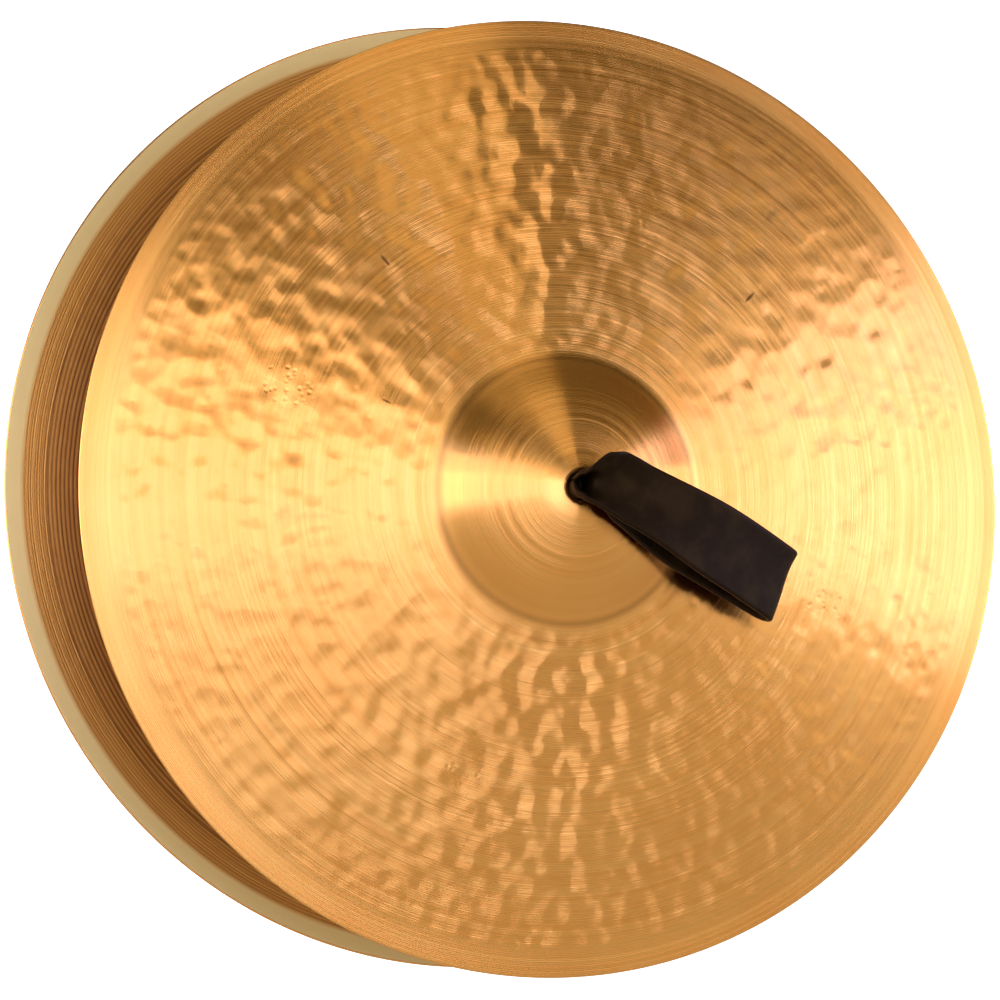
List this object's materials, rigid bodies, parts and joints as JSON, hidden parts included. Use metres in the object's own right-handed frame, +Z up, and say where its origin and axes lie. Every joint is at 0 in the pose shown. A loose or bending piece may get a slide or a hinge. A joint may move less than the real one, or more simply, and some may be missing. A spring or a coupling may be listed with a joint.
{
  "type": "hand cymbals",
  "caption": "Hammered and lathed bronze hand cymbals with bells, held face to face, each with a folded leather hand strap knotted inside its bell.",
  "frame": {"origin": "the middle of the pair's box: midway between the planes of the two rims, and midway between the two cymbals' axes", "axes": "+Y along both cymbals' axes, from the front cymbal to the rear one, so the front bell points to -Y; +Z up; +X the way the front strap lies"},
  "size_m": [0.4506, 0.196, 0.4375],
  "materials": {
    "bronze": "hammered and lathed, with fine turned lines",
    "leather": "smooth dyed leather, dark edges"
  },
  "bodies": {
    "rear_strap": {"rear_strap_neck": "leather", "rear_knot_thong_1": "leather", "rear_knot_thong_2": "leather", "rear_knot_thong_3": "leather", "rear_knot_thong_4": "leather"},
    "rear_plate": {"rear_cymbal_plate": "bronze"},
    "rear_hand_loop": {"rear_strap_hand_loop": "leather"},
    "front_strap": {"front_strap_neck": "leather", "front_knot_thong_1": "leather", "front_knot_thong_2": "leather", "front_knot_thong_3": "leather", "front_knot_thong_4": "leather"},
    "front_plate": {"front_cymbal_plate": "bronze"},
    "front_hand_loop": {"front_strap_hand_loop": "leather"}
  },
  "joints": [
    {"name": "clash_slide", "type": "slide", "parent": "rear_strap", "child": "front_strap", "axis": [0, 1, 0], "range_m": [-0.19, 0.0594]},
    {"name": "rear_plate_swivel", "type": "hinge", "parent": "rear_strap", "child": "rear_plate", "pos_m": [-0.00954, 0.083, 0.00301], "axis": [0, 1, 0], "continuous": true},
    {"name": "front_plate_swivel", "type": "hinge", "parent": "front_strap", "child": "front_plate", "pos_m": [0.00954, -0.083, -0.00301], "axis": [0, -1, 0], "continuous": true},
    {"name": "rear_loop_tilt", "type": "hinge", "parent": "rear_strap", "child": "rear_hand_loop", "pos_m": [-0.02012, 0.09, 0.01216], "axis": [-0.1719, 0, -0.9851], "range_deg": [0, 90]},
    {"name": "front_loop_tilt", "type": "hinge", "parent": "front_strap", "child": "front_hand_loop", "pos_m": [0.02346, -0.09, -0.00158], "axis": [-0.4242, 0, -0.9056], "range_deg": [0, 90]}
  ]
}
